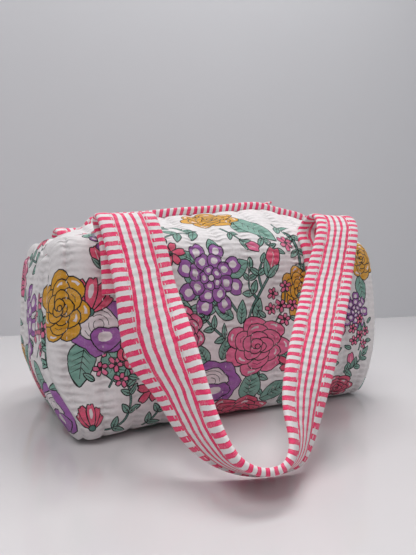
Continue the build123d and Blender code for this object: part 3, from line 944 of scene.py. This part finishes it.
# quilted front and back, with their linings
def wallBorder(side, length):
    across, down = np.linspace(-112, 112, 75), np.arange(2.4, length - 1, 2.4)
    scale = wallLength / length
    right, left = [112 + seamReach(-side * way, down * scale) for way in (1, -1)]
    return np.vstack([np.c_[across, np.zeros(75)], np.c_[right, down],
                      np.c_[across[::-1], np.full(75, length)], np.c_[-left[::-1], down[::-1]]])


def wallGrid(side, length, fine, border):
    if fine:
        near = np.array([-8.2, -5.8, -3.8, -2.3, -1.1, 0, 1.1, 2.3, 3.8, 5.8, 8.2])
        rows = bag["rowStart"] + bag["rowPitch"] * np.arange(-6, 6)
        beyond = np.arange(107.5, 129, 1.6)
        across = np.unique(np.r_[(rows[:, None] + near).ravel(), beyond, -beyond])
        down = np.arange(1.4, length - 1, 2.4)
    else:
        across, down = np.linspace(-126, 126, 43), np.arange(3, length - 2, 4.0)
    u, v = np.meshgrid(-side * across, down)
    spots = np.c_[u.ravel(), v.ravel()]
    clear = within(spots + (1.0, 0), border) & within(spots - (1.0, 0), border)
    return spots[clear]


frontShapes = wallPrint()
centre = np.array([0.0, wallLength])
backShapes = [(centre - shape, ink) for shape, ink in frontShapes]
panels = {}
for side, word, shapes in ((-1, "front", frontShapes), (1, "back", backShapes)):
    bare = wallPlace(outerSections, side, 0.0)
    skin = lifted(bare, lambda u, v, s=side: drape(-s * u, v) + quiltSkin(-s * u, v))
    backing = lifted(bare, lambda u, v, s=side: drape(-s * u, v) - bag["quilt"])
    border = wallBorder(side, wallLength)
    panel = quiltedPanel(word + "Panel", skin, backing, border, wallGrid(side, wallLength, True, border), shapes)
    finished(panel, "print", "root", "quilted_print", word + "_panel")
    panels[word] = (panel, skin, border)
    print(panel.name, len(panel.data.polygons), "faces")
    bare = wallPlace(liningSections, side, bag["liningAt"])
    outer = lifted(bare, lambda u, v, s=side: drape(-s * u, v))
    inner = lifted(bare, lambda u, v, s=side: drape(-s * u, v) - bag["liningThick"])
    border = wallBorder(side, liningLength)
    lining = quiltedPanel(word + "Lining", outer, inner, border, wallGrid(side, liningLength, False, border), [])
    finished(lining, "lining", "root", "lining_cotton", word + "_lining")
    cutSheet(border)

# domed ends
endCloth = {"dent": 2.2, "seamDepth": 1.4}


def endBorder(side, inset):
    bare, rim, fromRim = domePlace(side, inset)
    sections, length = (outerSections, wallLength) if inset == 0 else (liningSections, liningLength)
    down = np.r_[np.arange(0, length, 2.4), length]
    reach = seamReach(side, down * wallLength / length)
    edge = wallFlat(sections, np.full(len(down), side * 112.0), down)
    direction = np.arctan2(edge[:, 2] - bag["bellyHeight"], edge[:, 1])
    flat = rim(direction) - reach
    front = np.c_[side * flat * np.cos(direction), -flat * np.sin(direction)]
    return np.vstack([front, front[::-1][1:] * (-1, 1)]), bare, rim


def endGrid(border, pitch):
    span = np.arange(-84, 84, pitch)
    u, v = np.meshgrid(span, span)
    spots = np.c_[u.ravel(), v.ravel()]
    clear = np.ones(len(spots), bool)
    for step in ((1.1, 0), (-1.1, 0), (0, 1.1), (0, -1.1)):
        clear &= within(spots + step, border)
    return spots[clear]


def toEdge(spots, border):
    nearest = np.full(len(spots), 99.0)
    for point in border:
        nearest = np.minimum(nearest, np.hypot(*(spots - point).T))
    return nearest


for side, word in ((-1, "left"), (1, "right")):
    border, bare, rim = endBorder(side, 0.0)

    def endSkin(u, v, border=border):
        edge = toEdge(np.c_[u, v], border)
        row = np.abs((u - bag["rowStart"] + 10) % 20 - 10)
        dent = endCloth["dent"] * (0.6 * np.sin(u / 15 + 0.6) * np.sin(v / 21 + 1.1) + 0.3 * np.sin(u / 8 - v / 13))
        rows = -0.9 * np.exp(-(row / 1.9) ** 2) + 0.4 * np.sin(math.pi * row / 20)
        return rows * smooth(edge, 1, 6) - endCloth["seamDepth"] * np.exp(-(edge / 2.4) ** 2) \
            + (dent - 1.2) * smooth(edge, 3, 16)

    skin = lifted(bare, endSkin)
    shapes = endPrint() if side < 0 else [(-shape, ink) for shape, ink in endPrint()]
    panel = quiltedPanel(word + "EndPanel", skin, lifted(bare, lambda u, v: np.full(len(u), -bag["quilt"])),
                         border, endGrid(border, 2.0), shapes)
    finished(panel, "print", "root", "quilted_print", word + "_end_panel")
    panels[word] = (panel, skin, border)
    border, bare, rim = endBorder(side, bag["liningAt"])
    lining = quiltedPanel(word + "EndLining", bare, lifted(bare, lambda u, v: np.full(len(u), -bag["liningThick"])),
                          border, endGrid(border, 4.0), [])
    finished(lining, "lining", "root", "lining_cotton", word + "_end_lining")
    cutSheet(border)
    # bound seam allowance inside
    ring = endOutline(side, bag["liningAt"] + bag["liningThick"] + 4.2)
    way = np.roll(ring, -1, axis=0) - np.roll(ring, 1, axis=0)
    way /= np.linalg.norm(way, axis=1)[:, None]
    centres = np.c_[np.full(len(ring), side * 109.0), ring]
    inward = np.c_[np.zeros(len(ring)), way[:, 1], -way[:, 0]]
    profile = [(-3.2, -2.2), (-2.6, -2.8), (2.6, -2.8), (3.2, -2.2), (3.2, 2.2), (2.6, 2.8), (-2.6, 2.8), (-3.2, 2.2)]
    seam = strip(word + "SeamBinding", centres, inward, np.tile((1.0, 0, 0), (len(ring), 1)), profile, closed=True)
    finished(seam, "seam", "root", "seam_cotton", word + "_seam_binding")
print("ends ready")

run = np.linspace(-104, 104, 105)
centres = np.c_[run, np.zeros(105), np.full(105, 5.2)]
tapeProfile = [(-6.9, -0.4), (-6.4, -0.5), (6.4, -0.5), (6.9, -0.4), (6.9, 0.4), (6.4, 0.5), (-6.4, 0.5), (-6.9, 0.4)]
baseTape = strip("baseSeamTape", centres, np.tile((0, 1.0, 0), (105, 1)), np.tile((0, 0, 1.0), (105, 1)), tapeProfile)
finished(baseTape, "seam", "root", "seam_cotton", "base_seam_tape")

# zip: striped bindings, tapes and coils
zipSizes = {"bindingAt": 8.3, "tapeAt": 6.58, "toothPitch": 1.5, "toothAt": 1.3}
run = np.linspace(-111.6, 111.6, 187)
level = ridge(run)
tucked = 8.0 * (1 - smooth(run, -94, -83)) + 5.0 * smooth(run, 103, 110)
toSide, up = np.tile((0, 1.0, 0), (187, 1)), np.tile((0, 0, 1.0), (187, 1))
bindingProfile = np.array([(-2.5, -0.3), (-2.55, 1.6), (-2.5, 3.3), (-2.1, 4.8), (-1.1, 5.8), (0, 6.05),
                           (1.1, 5.8), (2.1, 4.8), (2.5, 3.3), (2.55, 1.6), (2.5, -0.3)])
for side, word in ((-1, "front"), (1, "back")):
    sway = 0.35 * np.sin(run / 13 + side) + 0.2 * np.sin(run / 5.1)
    height = level - tucked + 0.25 * np.sin(run / 9 + 2 * side)
    centres = np.c_[run, side * zipSizes["bindingAt"] + sway * 0.5, height]
    binding = strip(word + "ZipBinding", centres, toSide, up, bindingProfile, across=chordKnots(bindingProfile),
                    lengthFirst=True, slant=0.28 * side)
    finished(binding, "bars", "root", "striped_cotton", word + "_zip_binding")
    centres = np.c_[run, np.full(187, side * zipSizes["tapeAt"]), level - 1.3]
    half = [(4.3, -0.3), (4.3, 0.3), (4.2, 0.38), (-4.2, 0.38)]
    flatProfile = [(-4.3, -0.3), (-4.2, -0.38), (4.2, -0.38), *half, (-4.3, 0.3)]
    tape = strip(word + "ZipTape", centres, toSide, up, flatProfile)
    finished(tape, "tape", "root", "zip_tape", word + "_zip_tape")
    bpy.ops.mesh.primitive_uv_sphere_add(segments=8, ring_count=6, radius=0.00085, location=(0, 0, 0))
    tooth = bpy.context.object
    bpy.ops.object.mode_set(mode="EDIT")
    bpy.ops.transform.resize(value=(0.52, 1.2, 0.95), orient_type="GLOBAL")
    bpy.ops.object.mode_set(mode="OBJECT")
    one = np.array([v.co for v in tooth.data.vertices]) / mm
    oneFaces = [tuple(p.vertices) for p in tooth.data.polygons]
    bpy.data.objects.remove(tooth)
    places = np.arange(-99.4 + (0.75 if side > 0 else 0), 99.6, zipSizes["toothPitch"])
    vertices = np.vstack([one + (x, side * zipSizes["toothAt"], float(ridge(x)) - 1.3) for x in places])
    faces = [tuple(k + n * len(one) for k in face) for n in range(len(places)) for face in oneFaces]
    finished(meshObject(word + "ZipCoil", vertices, faces), "coil", "root", "zip_coil", word + "_zip_coil")
print("zip ready")

# pull tab: a folded scrap of the striped cotton, standing up a little from the pull
slope = Vector((1, 0, 0.126471)).normalized()
above = Vector((-slope.z, 0, slope.x))
hinge = Vector((37.724, 0, 149.1708))
rise = math.radians(12)
lean = slope * math.cos(rise) + above * math.sin(rise)
reach = np.linspace(-1.0, 12.9, 15)
centres = np.array([hinge + slope * 12.8 + lean * s for s in reach])
puff = 1 + 0.18 * np.sin(np.clip((reach + 1) / 13.9, 0, 1) * math.pi)
faceWay = np.array([(-slope * math.sin(rise) + above * math.cos(rise)) * p for p in puff])
tabProfile = [(-3.8, 0), (-3.6, -0.75), (-2.6, -0.98), (2.6, -0.98), (3.6, -0.75), (3.8, 0), (3.6, 0.75), (2.6, 0.98),
              (-2.6, 0.98), (-3.6, 0.75)]
tab = strip("pullTab", centres, np.tile((0, 1.0, 0), (15, 1)), faceWay, tabProfile, lengthFirst=True, slant=0.1)
finished(tab, "bars", "zip_pull", "striped_cotton", "pull_tab")

# straps: one line from each sewn foot over its fold, round the loop and back
strap = {
    "width": 36.0, "lift": 1.8, "footHeight": 86.0, "leaveHeight": 116.5, "left": -61.0, "right": 48.0,
    "leftArch": [((-61.5, -56.8, 121.5), (-36, 0, -0.5)), ((-62.5, -54.8, 127.5), (-36, 0, -1)),
                 ((-63.5, -57.0, 132.0), (-36, -1, -2)), ((-64, -63.0, 133.5), (-36, -2, -3)),
                 ((-64, -70.5, 128.5), (-36, -3, -4)), ((-63, -82, 111.5), (-35.5, -4, -6))],
    "loop": [((-62.5, -94, 90), (-34, -4, -6)), ((-64.5, -120.5, 66), (-27, 19, -14)),
             ((-66.5, -138, 48), (-14, 31, -12)), ((-67.5, -153, 32.5), (-5, 33, -14)),
             ((-65.5, -165, 22), (5, 32, -14.5)), ((-59, -170.5, 17.5), (13, 29.5, -14.5)),
             ((-51, -171.5, 16.5), (18.5, 27, -14)), ((-43, -168.5, 18.5), (24, 22.5, -14)),
             ((-37.5, -163, 24), (27.5, 19.5, -13)), ((-33.5, -153, 34), (32.5, 12.5, -10)),
             ((-22, -137.5, 50), (35, 4, -7)), ((-3, -119, 68), (35.5, -1, -5)), ((18, -99.5, 87), (35.5, -4, -2))],
    "rightArch": [((37, -85, 109), (36, -3, -1)), ((49, -76, 125), (36, -2, 0)), ((55.5, -68, 134.5), (36, -1, 0)),
                  ((57, -61, 138.5), (36, 0, 0)), ((55.5, -55, 136), (36, 0, 0)), ((52, -53, 130), (36, 0, 0)),
                  ((49, -56, 123.5), (36, 0, 0))],
}
strapSections, strapLength = wallSections(-strap["lift"])


def sewnPart(edge, way):
    down = np.linspace(20, 110, 181)
    spots = wallFlat(strapSections, np.full(181, edge + way * 18), down)
    pick = (spots[:, 2] > strap["footHeight"]) & (spots[:, 2] < strap["leaveHeight"])
    spots = spots[pick]
    spots = spots[np.linspace(0, len(spots) - 1, 6).astype(int)]
    return [((edge, y, z), (way * 36, 0, 0)) for x, y, z in spots]


controls = sewnPart(strap["left"], -1)[::-1] + strap["leftArch"] + strap["loop"] + strap["rightArch"] \
    + sewnPart(strap["right"], 1)
inner = np.array([a for a, b in controls], float)
ways = np.array([b for a, b in controls], float)
outer = inner + ways / np.linalg.norm(ways, axis=1)[:, None] * strap["width"]
knots = chordKnots((inner + outer) / 2)
at = np.linspace(0, knots[-1], 250)
inner, outer = naturalSpline(knots, inner, at), naturalSpline(knots, outer, at)
centres = (inner + outer) / 2
wide = (outer - inner) / np.linalg.norm(outer - inner, axis=1)[:, None]
onward = np.gradient(centres, axis=0)
face = np.cross(onward, wide)
face /= np.linalg.norm(face, axis=1)[:, None]
print("strap path", round(knots[-1]), "mm")

coreProfile = [(-11, 0), (-10.9, -1.1), (-7, -1.25), (-2.7, -1.2), (2.7, -1.2), (7, -1.25), (10.9, -1.1), (11, 0),
               (10.9, 1.1), (7, 1.25), (2.7, 1.2), (-2.7, 1.2), (-7, 1.25), (-10.9, 1.1)]
edgeProfile = [(9.5, -1.3), (10.1, -1.62), (12.4, -1.78), (15.6, -1.72), (17.3, -1.3), (17.95, -0.45), (17.95, 0.45),
               (17.3, 1.3), (15.6, 1.72), (12.4, 1.78), (10.1, 1.62), (9.5, 1.3)]
mirrored = np.array((1.0, -1.0, 1.0))
for word, flip in (("front", np.ones(3)), ("back", mirrored)):
    ends = ["_left_strap_end", "_right_strap_end"]
    side = flip[1]
    start, end = (0, -0.06219 * side, 0.12078), (0, -0.07164 * side, 0.12536)
    handle = word + "_handle"
    pieces = [
        (word + "HandleCore", coreProfile, "core", False, [handle + "_core"] + [word + e for e in ends]),
        (word + "HandleInnerBinding", [(-a, b) for a, b in edgeProfile], "bars", True,
         [handle + "_inner_binding"] + [word + e + "_binding" for e in ends]),
        (word + "HandleOuterBinding", edgeProfile, "bars", True, [handle + "_outer_binding"]),
    ]
    for name, profile, look, lengthFirst, nodes in pieces:
        piece = strip(name, centres * flip, wide * flip, face * flip, profile, lengthFirst=lengthFirst,
                      slant=0.06 if lengthFirst else 0.0)
        finished(piece, look, None, "striped_cotton", *nodes)
        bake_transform(piece)
        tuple(start)
        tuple(end)
    runs = []
    for shift in (-10.7, 10.7):
        for level in (-1.72, 1.72):
            runs.append(((centres + wide * shift + face * level) * flip, face * flip * np.sign(level)))
    thread = stitches(word + "HandleStitches", runs, long=2.6, gap=1.5, thick=0.3)
    finished(thread, "thread", None, "striped_cotton")
    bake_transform(thread)
    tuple(start)
    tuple(end)
print("straps ready")

# quilting rows
quilting = {"long": 1.9, "gap": 2.6, "thick": 0.3}
for word in ("front", "back", "left", "right"):
    panel, skin, border = panels[word]
    runs = []
    for k in range(-7, 7):
        across = bag["rowStart"] + bag["rowPitch"] * k
        v = np.arange(-80, wallLength - 4, 1.0)
        u = np.full(len(v), across * (-1 if word == "back" else 1))
        keep = within(np.c_[u, v - 6], border) & within(np.c_[u, v + 6], border)
        u, v = u[keep], v[keep]
        if len(u) > 5:
            runs.append((skin(u, v), outward(skin, u, v)))
    finished(stitches(word + "QuiltStitches", runs, **quilting), "thread", "root", "quilted_print")
print("quilting ready")

# zip metal keeps its frame shapes
for node in ("zip_bottom_stop", "zip_top_stops", "slider_body", "slider_crown", "zip_pull"):
    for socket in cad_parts[node].material_slots:
        socket.material = looks["metal"]


# floor, backdrop, lights and camera
def studioSurface(name, shade, rough):
    material, tree, shader = newMaterial(name, rough)
    spot = tree.nodes.new("ShaderNodeTexCoord").outputs["Object"]
    cloud = noise(tree, spot, 3.0, 2.0)
    tree.links.new(mixed(tree, cloud, (*shade, 1.0), tuple(c * 0.97 for c in shade) + (1.0,)), shader["Base Color"])
    return material


bpy.ops.object.select_all(action="DESELECT")
bpy.ops.mesh.primitive_plane_add(size=6.0, location=(0, 0, 0))
floor = bpy.context.object
floor.name = "floor"
floor.data.materials.append(studioSurface("paleTable", (0.72, 0.695, 0.70), 0.12))
bpy.ops.mesh.primitive_plane_add(size=6.0, location=(0, 0.42, 1.5), rotation=(math.radians(90), 0, math.radians(-6)))
backdrop = bpy.context.object
backdrop.name = "backdrop"
backdrop.data.materials.append(studioSurface("paleWall", (0.60, 0.60, 0.62), 0.8))

world = bpy.data.worlds.new("studio")
bpy.context.scene.world = world
world.use_nodes = True
world.node_tree.nodes["Background"].inputs[0].default_value = (0.92, 0.94, 1.0, 1.0)
world.node_tree.nodes["Background"].inputs[1].default_value = 0.24
studioLights = {
    "key": ((-0.7, -0.7, 1.5), 0.8, 10.5), "fill": ((1.1, -0.9, 0.8), 1.0, 2.5), "top": ((0.2, 0.24, 1.2), 0.6, 10.0),
}
for name, (spot, size, power) in studioLights.items():
    light = bpy.data.objects.new(name, bpy.data.lights.new(name, "AREA"))
    light.data.shape, light.data.size, light.data.energy = "SQUARE", size, power
    light.location = spot
    light.rotation_euler = (Vector((0, 0, 0.07)) - Vector(spot)).to_track_quat("-Z", "Y").to_euler()
    bpy.context.scene.collection.objects.link(light)

bpy.context.scene.view_settings.view_transform = "Standard"
view = {"place": (-0.171, -0.339, 0.1025), "turn": 27.5, "down": 1.34, "lens": 31.78}
camera = bpy.data.objects.new("camera", bpy.data.cameras.new("camera"))
camera.data.lens, camera.data.sensor_width, camera.data.clip_start = view["lens"], 36.0, 0.01
camera.location = view["place"]
camera.rotation_euler = (math.radians(90 - view["down"]), 0, math.radians(-view["turn"]))
bpy.context.scene.collection.objects.link(camera)
bpy.context.scene.camera = camera
